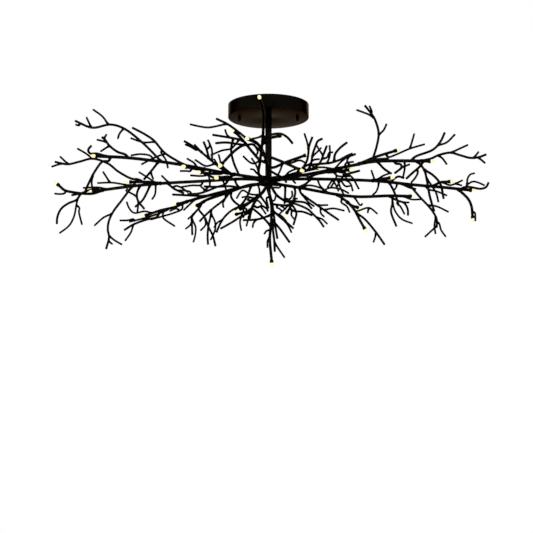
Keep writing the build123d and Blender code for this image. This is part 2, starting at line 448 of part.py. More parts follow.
# Front left arm: climbs in front of the stem, with the long twigs left of the canopy.
front_left = [
    ("main", "hub", "arm", (268.5, 179.3), (267.6, 168, -45), (265, 157, -85),
     (261.2, 148.4, -118), (256, 142.6, -146), (249.5, 139.6, -172)),
    ("a", "main", "twig", (256.6, 143.2), (247, 138.8, 18), (240, 133.2, 12), (228, 124.5, -4),
     (216.3, 118.8, -20)),
    ("a1", "a", "tip", (227.6, 124.2), (209, 127.6, 10), (200, 126.6, 16), (190, 124.4, 18)),
    ("b", "main", "stub", (266.6, 164), (260.4, 160.4, -14), (252, 151.4, -26),
     (245.6, 143.6, -34), (240.8, 138, -40), (236.6, 133.6, -44)),
    ("c", "b", "twig", (244, 141.6), (236, 138.8, 14), (228, 137.4, 16), (212.4, 134.9, 14)),
    ("c1", "c", "tip", (230, 137.8), (226.6, 134, 10), (225.2, 129.6, 14)),
    ("c2", "c", "twig", (233, 138.2), (231.2, 150, -12), (233.6, 162, -16), (238.6, 174, -20)),
    ("d", "front.main", "twig", (261.6, 149.8), (257.4, 148.4, 14), (252.4, 144.4, 18),
     (246, 145.2, 18), (237, 144, 14), (226, 142.6, 8), (215.4, 143.3, 2)),
    ("d1", "d", "tip", (257, 148.2), (257.8, 152.4, 10), (256, 155.6, 14)),
    ("e", "b", "stub", (246.8, 145), (240, 147, -14), (233, 152.4, -20), (223.6, 162.2, -24)),
    ("e1", "c", "tip", (238, 139.4), (235.6, 144.4, -12), (231, 148.8, -20), (222, 150.6, -24),
     (210.6, 155.4, -26)),
    ("f", "main", "stub", (267.5, 167.6), (274, 167.4, -14), (285, 162.6, -24), (303, 156.2, -32)),
    ("f1", "f", "tip", (283, 163.4), (280.4, 170, -12), (277.8, 175.4, -18)),
    ("g", "main", "twig", (267.9, 170.6), (276, 174.2, -30), (284, 178.8, -52), (286.4, 182.4, -58)),
]

# Drop spike: hangs from the hub's cap.
drop = [
    ("main", "hub", "stub", (268.5, 190), (270, 198, 0), (271.4, 206, 2), (271.2, 222, 0),
     (269.8, 238, -2), (271.5, 259.6, 0)),
    ("a", "main", "twig", (271.4, 208.2), (279, 216.2, 12), (287, 222.8, 20), (293.6, 228.6, 24)),
    ("a1", "a", "tip", (284.6, 221), (288.8, 226.6, -12), (291.6, 232.6, -16)),
    ("a2", "main", "tip", (271.4, 211.2), (281, 215.6, -12), (286.6, 221.6, -18)),
    ("b", "main", "twig", (271.2, 217.5), (279.6, 228.4, -20), (289.8, 242.5, -26)),
    ("c", "main", "twig", (269.1, 193.2), (271.6, 200.2, 12), (273.2, 210, 14), (275.2, 225, 15),
     (277.4, 238.8, 16)),
    ("d", "main", "twig", (271.2, 222.2), (273, 230.2, -10), (274.2, 240, -14), (274.8, 251.6, -18)),
    ("d1", "d", "tip", (274, 242), (279.4, 250, 12), (284.8, 257.8, 16)),
    ("e", "main", "tip", (270, 236.6), (267.6, 241, 12), (267.5, 247.8, 16)),
    ("f", "main", "tip", (270.5, 229.8), (266.4, 231, -12), (264.2, 234, -16)),
    ("g", "main", "twig", (270.9, 226.8), (261, 215.4, 15), (252.6, 208.4, 27)),
    ("h", "main", "twig", (271.3, 214.5), (258, 219.2, -14), (243, 220.2, -24)),
    ("h1", "h", "tip", (257, 219.3), (253.4, 223.4, -8), (252.6, 227.6, -10)),
    ("j", "main", "twig", (271.1, 203.6), (280, 205, -16), (287, 205.2, -24), (292, 203.6, -28)),
    ("l", "j", "tip", (276.2, 204.4), (279, 208.4, -10), (281.6, 210.6, -14)),
    ("p", "j", "tip", (281, 205), (285.8, 209.4, 12)),
    ("q", "j", "tip", (289.2, 204.5), (285, 208.8, -10), (279.8, 213.6, -16)),
    ("k", "main", "tip", (269.9, 197.4), (266.6, 198, -12), (267.2, 202.6, -16), (268.6, 208.4, -18)),
    ("o", "main", "tip", (270.4, 200.4), (274.6, 200, -14), (276, 194.8, -20)),
]

branches = {
    "left_front": left_front,
    "left_spur": left_spur,
    "left": left,
    "left_back": left_back,
    "back_left": back_left,
    "back_low": back_low,
    "back": back,
    "back_right": back_right,
    "right_back": right_back,
    "right": right,
    "right_front": right_front,
    "front_right": front_right,
    "front": front,
    "front_left": front_left,
    "drop": drop,
}

# Places worked out from the sizes.
hub_z = -canopy_depth - stem_drop
hub = Vector(0, 0, hub_z)
hub_top = hub_z + hub_height / 2
hub_bottom = hub_z - hub_height / 2
cap_bottom = hub_bottom - hub_cap_height
floor_z = -canopy_depth + canopy_wall
spread = overall_width / drawn_width
tilt = math.radians(sheet_tilt)
sight = Vector(0, math.cos(tilt), math.sin(tilt))
sheet_up = Vector(0, -math.sin(tilt), math.cos(tilt))
eye = sight * -sheet_distance

# Each gauge is a bar of flat sides with the same area as the round rod.
gauges = {
    "arm": (arm_d, arm_sides), "stub": (stub_d, stub_sides),
    "twig": (twig_d, twig_sides), "tip": (tip_d, tip_sides),
}
wired = ("arm", "stub")


def corner_radius(diameter, sides):
    """Corner radius of a regular bar with the area of a round rod."""
    return diameter / 2 * math.sqrt(2 * math.pi / (sides * math.sin(2 * math.pi / sides)))


def place(across, down, depth):
    """The point behind a sheet position, at a depth from the stem's axis."""
    flat = Vector((across - sheet_hub[0]) * sheet_scale, 0, 0)
    flat = flat + sheet_up * ((sheet_hub[1] - down) * sheet_scale)
    share = (depth - eye.Y) / (flat.Y - eye.Y)
    return hub + (eye + (flat - eye) * share) * spread


def on_sheet(point):
    """The sheet position of a point."""
    ray = (point - hub) * (1 / spread) - eye
    size = sheet_distance / ray.dot(sight) / sheet_scale
    return sheet_hub[0] + ray.X * size, sheet_hub[1] - ray.dot(sheet_up) * size


def springing(path, start):
    """The point of a parent's axis nearest to a sheet position, and the axis direction there."""
    best = None
    for a, b in zip(path, path[1:]):
        ax, ay = on_sheet(a)
        bx, by = on_sheet(b)
        run = (bx - ax) ** 2 + (by - ay) ** 2
        share = ((start[0] - ax) * (bx - ax) + (start[1] - ay) * (by - ay)) / run
        share = min(max(share, 0), 1)
        miss = math.hypot(ax + (bx - ax) * share - start[0], ay + (by - ay) * share - start[1])
        if best is None or miss < best[0]:
            best = (miss, a + (b - a) * share, (b - a).normalized())
    return best[1], best[2]


def polygon(centre, normal, radius, sides):
    """Corners of a regular polygon square to a direction."""
    aside = Vector(0, 0, 1) if abs(normal.Z) < 0.9 else Vector(1, 0, 0)
    u = normal.cross(aside).normalized()
    v = normal.cross(u)
    turns = [2 * math.pi * i / sides for i in range(sides)]
    return [centre + u * (radius * math.cos(t)) + v * (radius * math.sin(t)) for t in turns]


def slide(corners, direction, origin, normal):
    """Corners carried along a direction on to a plane."""
    return [p + direction * ((origin - p).dot(normal) / direction.dot(normal)) for p in corners]


def flat_face(corners):
    """A flat face through its corners."""
    return Face(Wire.make_polygon(corners, close=True))


def skin(rings):
    """A solid with flat sides between rings of corners."""
    faces = [flat_face(rings[0]), flat_face(rings[-1])]
    count = len(rings[0])
    for low, high in zip(rings, rings[1:]):
        for i in range(count):
            j = (i + 1) % count
            faces.append(flat_face([low[i], low[j], high[j], high[i]]))
    return Solid(Shell(faces))


def bent_bar(path, seat, seat_normal, radius, sides):
    """A bar along a bent axis, cut to its seat at the start, mitred at each bend and square at the end."""
    runs = [(b - a).normalized() for a, b in zip(path, path[1:])]
    ring = slide(polygon(path[0], runs[0], radius, sides), runs[0], seat, seat_normal)
    rings = [ring]
    for i, point in enumerate(path[1:]):
        ahead = runs[i + 1] if i + 1 < len(runs) else runs[i]
        ring = slide(ring, runs[i], point, (runs[i] + ahead).normalized())
        rings.append(ring)
    return skin(rings)


def stack(base, direction, steps, sides):
    """A solid of polygon rings along a straight axis, from steps of distance and radius."""
    return skin([polygon(base + direction * along, direction, radius, sides) for along, radius in steps])


def lay_rod(branch, row, rods):
    """Works out one rod's axis and seat from its row."""
    label, parent, gauge, start, bends = row[0], row[1], row[2], row[3], row[4:]
    diameter, sides = gauges[gauge]
    radius = corner_radius(diameter, sides)
    if parent == "hub" and branch == "drop":
        root = Vector(0, 0, cap_bottom)
        normal = Vector(0, 0, -1)
        seat = root + normal * seat_gap
        path = [root] + [place(*bend) for bend in bends]
    elif parent == "hub":
        path = [place(*bend) for bend in bends]
        axis = Vector(0, 0, place(start[0], start[1], 0).Z)
        normal = Vector(path[0].X, path[0].Y, 0).normalized()
        seat = axis + normal * (hub_d / 2 + seat_gap)
        path = [axis + normal * (hub_d / 2)] + path
    else:
        stock = rods[parent if "." in parent else branch + "." + parent]
        root, along = springing(stock["path"], start)
        depth = (root.Y - hub.Y) / spread
        path = [root] + [place(bend[0], bend[1], depth + bend[2]) for bend in bends]
        first = (path[1] - root).normalized()
        normal = first - along * first.dot(along)
        rise = normal.length
        normal = normal.normalized()
        # A twig that leaves at a low angle first stands off its parent on a short knee.
        if rise < knee_limit:
            off = stock["radius"] + radius + knee_clear
            lean = math.copysign(off * knee_lean, first.dot(along))
            path.insert(1, root + normal * off + along * lean)
            normal = (path[1] - root) - along * (path[1] - root).dot(along)
            normal = normal.normalized()
        seat = root + normal * (stock["radius"] + seat_gap)
    return {"path": path, "seat": seat, "normal": normal, "radius": radius, "sides": sides, "gauge": gauge}


def save(name, solids):
    """Writes one named piece, or a group of like pieces, to its own file."""
    piece = solids[0] if len(solids) == 1 else Compound(children=solids)
    export_step(piece, os.path.join("parts", name + ".step"))


os.makedirs("parts", exist_ok=True)
up = Vector(0, 0, 1)
down = Vector(0, 0, -1)
hexagon = 2 / math.sqrt(3)

# Canopy: pan profile turned about the stem's axis, with the stem hole and two stud holes.
canopy_r = canopy_d / 2
pan = Polyline(
    (0, floor_z), (canopy_r - canopy_wall, floor_z), (canopy_r - canopy_wall, 0), (canopy_r, 0),
    (canopy_r, -canopy_depth + canopy_edge), (canopy_r - canopy_edge, -canopy_depth), (0, -canopy_depth),
    close=True,
)
canopy = revolve(Plane.XZ * make_face(pan), Axis.Z)
nipple_d = stem_d - 2 * stem_wall - clearance
floor_mid = -canopy_depth + canopy_wall / 2
canopy -= Pos(0, 0, floor_mid) * Cylinder(nipple_d / 2 + clearance, 2 * canopy_wall)
for side in (-1, 1):
    stud_hole = Cylinder(stud_d / 2 + clearance, 2 * canopy_wall)
    canopy -= Pos(side * stud_spacing / 2, 0, floor_mid) * stud_hole
save("canopy", [canopy])

# Crossbar: two slots for the box screws, two stud holes, the earth screw hole and the wire eye.
outline = Rectangle(bar_length, bar_width) - Circle(bar_eye_d / 2)
for side in (-1, 1):
    outline -= Pos(side * box_screw_spacing / 2, 0) * SlotOverall(box_slot_length, box_slot_width)
bar = extrude(outline, -bar_thickness)
stud_hole_r = stud_d / 2 + clearance
earth_hole_r = earth_screw_d / 2 + clearance
holes = [(-stud_spacing / 2, stud_hole_r), (stud_spacing / 2, stud_hole_r), (earth_screw_x, earth_hole_r)]
for x, hole_r in holes:
    bar -= stack(Vector(x, 0, 0), down, [(0, hole_r), (bar_thickness, hole_r)], 8)
save("mounting_crossbar", [bar])

# Canopy studs, the nuts that lock them under the bar, and the cap nuts under the canopy.
studs = []
stud_nuts = []
cap_nuts = []
stud_nut_r = stud_nut_flats / 2 * hexagon
cap_nut_r = cap_nut_flats / 2 * hexagon
for side in (-1, 1):
    top = Vector(side * stud_spacing / 2, 0, 0)
    under_bar = top + down * bar_thickness
    under_canopy = top + down * canopy_depth
    studs.append(stack(top, down, [(0, stud_d / 2), (stud_length, stud_d / 2)], 8))
    nut = stack(under_bar, down, [(0, stud_nut_r), (stud_nut_height, stud_nut_r)], 6)
    bore = stack(top, down, [(0, stud_hole_r), (stud_length, stud_hole_r)], 8)
    stud_nuts.append(nut - bore)
    shoulder = cap_nut_height * 0.6
    crown = [(cap_nut_height * 0.88, cap_nut_flats * 0.4), (cap_nut_height, cap_nut_flats * 0.2)]
    cap = stack(under_canopy, down, [(0, cap_nut_r), (shoulder, cap_nut_r)] + crown, 6)
    bore = stack(top, down, [(0, stud_hole_r), (canopy_depth + cap_nut_bore_depth, stud_hole_r)], 8)
    cap_nuts.append(cap - bore)
save("canopy_studs", studs)
save("stud_nuts", stud_nuts)
save("cap_nuts", cap_nuts)

# Earth screw, head under the bar.
earth_r = earth_screw_d / 2
earth = stack(Vector(earth_screw_x, 0, 0), down, [(0, earth_r), (bar_thickness, earth_r)], 8)
earth_base = Vector(earth_screw_x, 0, -bar_thickness)
earth += stack(earth_base, down, [(0, earth_head_d / 2), (earth_head_height, earth_head_d * 0.4)], 8)
save("earth_screw", [earth])

# Lamp driver standing on the canopy's floor.
driver_y = canopy_r - canopy_wall - driver_inset - driver_width / 2
driver = Pos(0, driver_y, floor_z + driver_height / 2) * Box(driver_length, driver_width, driver_height)
driver = chamfer(driver.edges().filter_by(Axis.Z), driver_corner)
save("lamp_driver", [driver])

# Nipple through the canopy's floor, clamped by a flanged nut.
nut_base = floor_z + nut_seat_height
nipple_top = nut_base + nut_height + nipple_projection
nipple_foot = Vector(0, 0, nipple_top - nipple_length)
nipple = stack(nipple_foot, up, [(0, nipple_d / 2), (nipple_length, nipple_d / 2)], 12)
nipple -= stack(nipple_foot, up, [(0, nipple_bore / 2), (nipple_length, nipple_bore / 2)], 12)
save("stem_nipple", [nipple])
nut_r = nut_flats / 2 * hexagon
nut = stack(Vector(0, 0, floor_z), up, [(0, nut_seat_d / 2), (nut_seat_height, nut_seat_d / 2)], 12)
nut += stack(Vector(0, 0, nut_base), up, [(0, nut_r), (nut_height, nut_r)], 6)
nut_bore_r = nipple_d / 2 + clearance
nut -= stack(Vector(0, 0, floor_z), up, [(0, nut_bore_r), (nut_seat_height + nut_height, nut_bore_r)], 12)
save("nipple_nut", [nut])

# Stem tube from the canopy's underside into the hub's socket.
stem_end = hub_top - hub_socket_depth
stem_length = -canopy_depth - stem_end
stem_mid = stem_end + stem_length / 2
stem = Pos(0, 0, stem_mid) * Cylinder(stem_d / 2, stem_length)
stem -= Pos(0, 0, stem_mid) * Cylinder(stem_d / 2 - stem_wall, 2 * stem_length)
save("stem_tube", [stem])

# Hub: a turned drum with the stem's socket in its top, and the cap that the drop spike hangs from.
drum = Pos(0, 0, hub_z) * Cylinder(hub_d / 2, hub_height)
drum -= Pos(0, 0, hub_top) * Cylinder(stem_d / 2 + clearance / 2, 2 * hub_socket_depth)
save("hub", [drum])
cap = Pos(0, 0, hub_bottom - hub_cap_height / 2) * Cylinder(hub_cap_d / 2, hub_cap_height)
save("hub_cap", [cap])

# Branches: every rod is its own bar, and every wired tube ends in a socket and a lens.
rods = {}
for branch, rows in branches.items():
    bars = []
    sockets = []
    lenses = []
    for row in rows:
        rod = lay_rod(branch, row, rods)
        rods[branch + "." + row[0]] = rod
        bars.append(bent_bar(rod["path"], rod["seat"], rod["normal"], rod["radius"], rod["sides"]))
        if rod["gauge"] in wired:
            tip = rod["path"][-1]
            ahead = (tip - rod["path"][-2]).normalized()
            socket_r = corner_radius(2 * (rod["radius"] + socket_wall), lamp_sides)
            socket_base = tip + ahead * seat_gap
            sockets.append(stack(socket_base, ahead, [(0, socket_r), (socket_length, socket_r)], lamp_sides))
            lens_base = socket_base + ahead * (socket_length + seat_gap)
            lens_r = corner_radius(lens_d, lamp_sides)
            lens_steps = [(0, lens_r), (lens_length, lens_r * lens_taper)]
            lenses.append(stack(lens_base, ahead, lens_steps, lamp_sides))
    save("branch_" + branch, bars)
    save("sockets_" + branch, sockets)
    save("lenses_" + branch, lenses)
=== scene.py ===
# %% [markdown]
# # A bare-branch ceiling light
#
# This lesson dresses a ceiling light made like a leafless branch: a round canopy, a short stem, a hub, and
# arms with twigs welded along them. The solids of the frame give every place and size. Each piece is made
# again here as a smooth surface, worked out with numpy, and gets the finish of the real one.

import bmesh
import bpy
import numpy as np
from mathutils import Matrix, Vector


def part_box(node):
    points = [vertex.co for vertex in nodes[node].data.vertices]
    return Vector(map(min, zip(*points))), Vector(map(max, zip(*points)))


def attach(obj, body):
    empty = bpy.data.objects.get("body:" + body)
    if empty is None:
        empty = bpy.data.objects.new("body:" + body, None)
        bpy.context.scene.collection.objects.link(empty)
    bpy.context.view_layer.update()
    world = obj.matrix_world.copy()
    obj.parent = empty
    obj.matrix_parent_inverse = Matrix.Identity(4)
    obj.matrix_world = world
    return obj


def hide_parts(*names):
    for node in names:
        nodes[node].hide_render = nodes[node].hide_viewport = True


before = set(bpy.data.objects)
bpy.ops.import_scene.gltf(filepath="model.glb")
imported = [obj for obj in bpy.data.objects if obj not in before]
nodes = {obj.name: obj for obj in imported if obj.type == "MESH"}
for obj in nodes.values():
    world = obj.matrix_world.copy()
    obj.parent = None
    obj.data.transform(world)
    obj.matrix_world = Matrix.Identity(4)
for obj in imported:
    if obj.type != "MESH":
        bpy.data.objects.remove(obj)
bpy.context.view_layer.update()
branches = sorted(name[len("branch_"):] for name in nodes if name.startswith("branch_"))
MM = 0.001
print("nodes", len(nodes), "branches", len(branches))

# %% [markdown]
# ## Camera
#
# The photograph looks up at the light from below and from a few metres away, so that far and near twigs
# have almost the same scale. The camera is set by three facts: the angle it looks up, its distance from the
# hub, and where the hub lies in the square picture. Aiming at the picture's centre instead of using a lens
# shift keeps every other view centred.

# %% Camera
PICTURE = 533
HUB_PIXEL = (268.5, 181.0)
LOOK_UP = np.radians(14.0)
VIEW_DISTANCE = 4.0
PIXEL_AT_HUB = 2.09 * MM
SENSOR = 36.0

hub_low, hub_high = (np.array(corner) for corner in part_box("hub"))
hub_centre = (hub_low + hub_high) / 2
sight = np.array([0, np.cos(LOOK_UP), np.sin(LOOK_UP)])
across = np.array([1.0, 0, 0])
upward = np.cross(across, sight)
focal_pixels = VIEW_DISTANCE / PIXEL_AT_HUB
aim = focal_pixels * sight + (PICTURE / 2 - HUB_PIXEL[0]) * across - (PICTURE / 2 - HUB_PIXEL[1]) * upward
camera_data = bpy.data.cameras.new("viewpoint")
camera_data.sensor_width = SENSOR
camera_data.lens = SENSOR * focal_pixels / PICTURE
camera_data.clip_end = 100.0
camera = bpy.data.objects.new("viewpoint", camera_data)
camera.location = hub_centre - VIEW_DISTANCE * sight
camera.rotation_euler = Vector(aim).to_track_quat("-Z", "Y").to_euler()
bpy.context.scene.collection.objects.link(camera)
bpy.context.scene.camera = camera
print("lens", round(camera_data.lens, 1), "mm")

# %% [markdown]
# ## Finishes
#
# A finish starts from the real material. One function turns an sRGB hex colour to the linear values that
# shaders use, and one adds a node with its settings and links. Patterns read Object coordinates in metres,
# so a scale is one over the size of the grain.

# %% Helpers for finishes
def linear(hex_colour):
    """Linear RGBA of an sRGB hex colour: ((c + 0.055) / 1.055) to the power 2.4, or c / 12.92 when dark."""
    channels = np.array([int(hex_colour[i:i + 2], 16) for i in (1, 3, 5)]) / 255
    curve = np.where(channels > 0.04045, ((channels + 0.055) / 1.055) ** 2.4, channels / 12.92)
    return (*curve.tolist(), 1.0)


def add(tree, kind, settings, links=()):
    """Adds a shader node, sets its properties or sockets by name, and links outputs to its named inputs."""
    node = tree.nodes.new(kind)
    for name, value in settings.items():
        if name in node.inputs:
            node.inputs[name].default_value = value
        else:
            setattr(node, name, value)
    for name, source in links:
        tree.links.new(source, node.inputs[name])
    return node


# %% A new finish
def grain(millimetres):
    """Pattern scale for a grain of a size in millimetres: one over the size in metres."""
    return 1 / (millimetres * MM)


def new_finish(name, settings):
    """A material with one Principled shader, given by its own sockets, and its Object coordinates."""
    material = bpy.data.materials.new(name)
    material.use_nodes = True
    tree = material.node_tree
    tree.nodes.clear()
    shader = add(tree, "ShaderNodeBsdfPrincipled", settings)
    add(tree, "ShaderNodeOutputMaterial", {}, [("Surface", shader.outputs["BSDF"])])
    place = add(tree, "ShaderNodeTexCoord", {}).outputs["Object"]
    return material, tree, shader, place


# %% [markdown]
# ## Bronze enamel
#
# Canopy, stem and branches have a sprayed dark bronze enamel over steel, with fine metal flakes in the
# lacquer. To the eye it is almost black seen straight on and brown where a broad face is seen aslant, with
# a soft gloss, a faint orange peel and small cloudy changes of tone. A metal shader gives that: its base
# colour is the look straight on, and its specular tint is the look near the edge of sight. The broad canopy
# is glossier than the hand-sprayed branches, so the two share a recipe with different values.

# %% Bronze enamel
CLOUD_EDGES = (0.35, 0.7)
GLOSS_SPREAD = 0.06
PEEL_STRENGTH = 0.12
PEEL_DEPTH = 0.05 * MM


def bronze_enamel(name, deep, warm, aslant, gloss, peel_mm, cloud_mm):
    """Sprayed enamel: two browns in soft clouds, roughness from a finer cloud, and an orange-peel bump."""
    material, tree, shader, place = new_finish(name, {"Metallic": 1.0, "Specular Tint": linear(aslant)})
    cloud = add(tree, "ShaderNodeTexNoise", {"Scale": grain(cloud_mm), "Detail": 4.0}, [("Vector", place)])
    tone = add(tree, "ShaderNodeValToRGB", {}, [("Fac", cloud.outputs["Fac"])])
    for stop, position, colour in zip(tone.color_ramp.elements, CLOUD_EDGES, (deep, warm)):
        stop.position, stop.color = position, linear(colour)
    tree.links.new(tone.outputs["Color"], shader.inputs["Base Color"])
    haze = add(tree, "ShaderNodeTexNoise", {"Scale": grain(cloud_mm / 4), "Detail": 3.0},
               [("Vector", place)])
    rough = add(tree, "ShaderNodeMapRange",
                {"To Min": gloss - GLOSS_SPREAD, "To Max": gloss + GLOSS_SPREAD},
                [("Value", haze.outputs["Fac"])])
    tree.links.new(rough.outputs["Result"], shader.inputs["Roughness"])
    peel = add(tree, "ShaderNodeTexNoise", {"Scale": grain(peel_mm), "Detail": 2.0}, [("Vector", place)])
    bump = add(tree, "ShaderNodeBump", {"Strength": PEEL_STRENGTH, "Distance": PEEL_DEPTH},
               [("Height", peel.outputs["Fac"])])
    tree.links.new(bump.outputs["Normal"], shader.inputs["Normal"])
    return material


canopy_enamel = bronze_enamel("bronze_enamel_canopy", "#0b0907", "#12100c", "#b6b0aa", 0.24, 0.8, 40)
branch_enamel = bronze_enamel("bronze_enamel_branches", "#0c0a08", "#15120e", "#a39d97", 0.36, 0.6, 12)
print("enamels", canopy_enamel.name, branch_enamel.name)

# %% [markdown]
# ## Plated steel, earth paint, driver case and lens
#
# The hidden fixings are zinc-plated steel: a bright grey metal with a cloudy sheen. The earth screw is
# dipped in green paint, which dries to an even gloss, and the driver sits in a case of white ABS, matt from
# the fine grain of its mould. Each lens is a dome of warm lit resin: cream at its foot, where the light
# enters, yellow round its shoulder and pale at its tip.

# %% Plated steel
def zinc_plate(name):
    """Zinc-plated steel: a grey metal whose roughness follows the plating's crystals and whose tone follows
    a broader smear.
    """
    material, tree, shader, place = new_finish(name, {"Metallic": 1.0})
    # The crystals of the plating are finer than this. They are drawn coarser so that they show.
    spangle = add(tree, "ShaderNodeTexVoronoi", {"Scale": grain(1.6)}, [("Vector", place)])
    smear = add(tree, "ShaderNodeTexNoise", {"Scale": grain(7), "Detail": 5.0}, [("Vector", place)])
    tone = add(tree, "ShaderNodeMix", {"data_type": "RGBA"}, [("Factor", smear.outputs["Fac"])])
    dull, bright = (socket for socket in tone.inputs if socket.type == "RGBA")
    dull.default_value, bright.default_value = linear("#9a9a96"), linear("#c3c0b2")
    mixed = next(socket for socket in tone.outputs if socket.type == "RGBA")
    tree.links.new(mixed, shader.inputs["Base Color"])
    rough = add(tree, "ShaderNodeMapRange", {"To Min": 0.26, "To Max": 0.42},
                [("Value", spangle.outputs["Distance"])])
    tree.links.new(rough.outputs["Result"], shader.inputs["Roughness"])
    return material


plated_steel = zinc_plate("zinc_plated_steel")
print("fixings", plated_steel.name)


# %% Painted, moulded and lit finishes
def speckled(name, dark, pale, grain_mm, settings, bump_mm):
    """A coloured surface with a fine grain: tone and bump follow one noise."""
    material, tree, shader, place = new_finish(name, settings)
    noise = add(tree, "ShaderNodeTexNoise", {"Scale": grain(grain_mm), "Detail": 3.0}, [("Vector", place)])
    tone = add(tree, "ShaderNodeValToRGB", {}, [("Fac", noise.outputs["Fac"])])
    tone.color_ramp.elements[0].color, tone.color_ramp.elements[1].color = linear(dark), linear(pale)
    tree.links.new(tone.outputs["Color"], shader.inputs["Base Color"])
    bump = add(tree, "ShaderNodeBump", {"Strength": 0.3, "Distance": bump_mm * MM},
               [("Height", noise.outputs["Fac"])])
    tree.links.new(bump.outputs["Normal"], shader.inputs["Normal"])
    return material


def lit_resin(name, foot, stops, tip, strength):
    """Lit resin: along the piece, the glow runs from the foot's colour through the stops to the tip's."""
    material, tree, shader, _ = new_finish(
        name, {"Base Color": linear("#8a7f46"), "Roughness": 0.12, "Emission Strength": strength})
    along = add(tree, "ShaderNodeAttribute", {"attribute_name": "along"})
    glow = add(tree, "ShaderNodeValToRGB", {}, [("Fac", along.outputs["Fac"])])
    glow.color_ramp.elements[0].color, glow.color_ramp.elements[1].color = linear(foot), linear(tip)
    for position, colour in stops:
        glow.color_ramp.elements.new(position).color = linear(colour)
    tree.links.new(glow.outputs["Color"], shader.inputs["Emission Color"])
    return material


earth_paint = speckled("green_earth_paint", "#1d6b34", "#2a8a45", 0.7, {"Roughness": 0.3}, 0.02)
driver_abs = speckled("white_abs_case", "#d9d8d2", "#e6e5e0", 0.5, {"Roughness": 0.5}, 0.03)
lens_resin = lit_resin(
    "lit_warm_resin", "#fff0c4", [(0.35, "#fff3cc"), (0.6, "#f0d468")], "#ffffcc", strength=1.0)
print("other finishes", earth_paint.name, driver_abs.name, lens_resin.name)

# %% [markdown]
# ## Surfaces from rings
#
# Almost every piece here is a stack of rings: a rod is a circle carried along a bent path, a cup or a tube
# is a profile turned about an axis, a nut is a turned profile cut to six flats. So one function joins rings
# with quads and closes both ends, and another puts many such stacks into one mesh.

# %% Rings to faces
def ring_faces(first, count, sides, closed):
    """Faces of a stack of rings whose corners are numbered from first, ring after ring.

    A quad joins each corner and the next to the same two on the ring ahead. A closed stack goes on from its
    last ring to its first, and any other gets a flat polygon on each end.
    """
    turn = np.arange(sides)
    step = np.arange(count if closed else count - 1)[:, None] * sides
    ahead = (step + sides) % (count * sides)
    beside = (turn + 1) % sides
    quads = np.stack([step + turn, step + beside, ahead + beside, ahead + turn], axis=-1)
    faces = (first + quads.reshape(-1, 4)).tolist()
    if not closed:
        faces.append((first + turn[::-1]).tolist())
        faces.append((first + turn + (count - 1) * sides).tolist())
    return faces


# %% Stacks to a piece
def make_piece(name, stacks, finish, node, closed=False, along=None, crease=None):
    """One object from stacks of rings, each an array of rings by corners by xyz. It stands for a node."""
    points = np.concatenate([stack.reshape(-1, 3) for stack in stacks])
    firsts = np.cumsum([0] + [stack.shape[0] * stack.shape[1] for stack in stacks])
    faces = []
    for stack, first in zip(stacks, firsts):
        faces += ring_faces(first, stack.shape[0], stack.shape[1], closed)
    mesh = bpy.data.meshes.new(name)
    mesh.from_pydata(points.tolist(), [], faces)
    corner_count = np.empty(len(faces), np.int32)
    mesh.polygons.foreach_get("loop_total", corner_count)
    mesh.polygons.foreach_set("use_smooth", corner_count == 4)
    if crease is not None:
        mesh.set_sharp_from_angle(angle=np.radians(crease))
    if along is not None:
        values = np.concatenate([share.ravel() for share in along]).astype(np.float32)
        mesh.attributes.new("along", "FLOAT", "POINT").data.foreach_set("value", values)
    mesh.materials.append(finish)
    piece = bpy.data.objects.new(name, mesh)
    bpy.context.scene.collection.objects.link(piece)
    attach(piece, "root")
    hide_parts(node)


# %% Turned rings
def axes_along(direction):
    """Two unit vectors square to a direction: its cross product with an axis aside, then with that one."""
    aside = np.array([0, 0, 1.0]) if abs(direction[2]) < 0.9 else np.array([1.0, 0, 0])
    u = np.cross(direction, aside)
    u = u / np.linalg.norm(u)
    return u, np.cross(direction, u)


def turned(base, direction, profile, sides):
    """A profile of distances and radii, turned: base + distance * direction + radius * circle."""
    u, v = axes_along(direction)
    angle = np.linspace(0, 2 * np.pi, sides, endpoint=False)
    circle = np.cos(angle)[:, None] * u + np.sin(angle)[:, None] * v
    along, radius = np.asarray(profile, float).T
    return base + along[:, None, None] * direction + radius[:, None, None] * circle


# %% [markdown]
# ## Reading the rods back
#
# The frame holds each rod as a bar with flat sides, cut at its seat and mitred at each bend. Its axis can
# be read back: corners that coincide are joined, connected corners make one bar, and the bar's rings are
# found by walking from one end face, one ring at a time. The middle of each ring is a point of the axis.

# %% Joined corners
WELD_DISTANCE = 0.005 * MM


def triangle_corners(mesh):
    """The corner numbers of a mesh of triangles, three to a row."""
    corners = np.empty(len(mesh.polygons) * 3, np.int32)
    mesh.polygons.foreach_get("vertices", corners)
    return corners.reshape(-1, 3)


def connected(triangles, count):
    """The connected group of each corner: the lowest number spreads over triangles till nothing changes."""
    label, before = np.arange(count), None
    while before is None or not np.array_equal(before, label):
        before = label.copy()
        np.minimum.at(label, triangles, label[triangles].min(axis=1)[:, None])
    return np.unique(label, return_inverse=True)[1].ravel()


# %% Merged copy of a node
def welded_copy(mesh):
    """Points, triangles and flat-face numbers of a merged copy of a node's mesh."""
    corners = triangle_corners(mesh)
    # Before merging, flat faces share no corners, so each is a connected group.
    face = connected(corners, len(mesh.vertices))[corners[:, 0]]
    copy = mesh.copy()
    copy.attributes.new("flat_face", "INT", "FACE").data.foreach_set("value", face.astype(np.int32))
    work = bmesh.new()
    work.from_mesh(copy)
    bmesh.ops.remove_doubles(work, verts=work.verts, dist=WELD_DISTANCE)
    work.to_mesh(copy)
    work.free()
    points = np.empty(len(copy.vertices) * 3, np.float32)
    copy.vertices.foreach_get("co", points)
    face = np.empty(len(copy.polygons), np.int32)
    copy.attributes["flat_face"].data.foreach_get("value", face)
    triangles = triangle_corners(copy)
    bpy.data.meshes.remove(copy)
    return points.reshape(-1, 3).astype(float), triangles, face


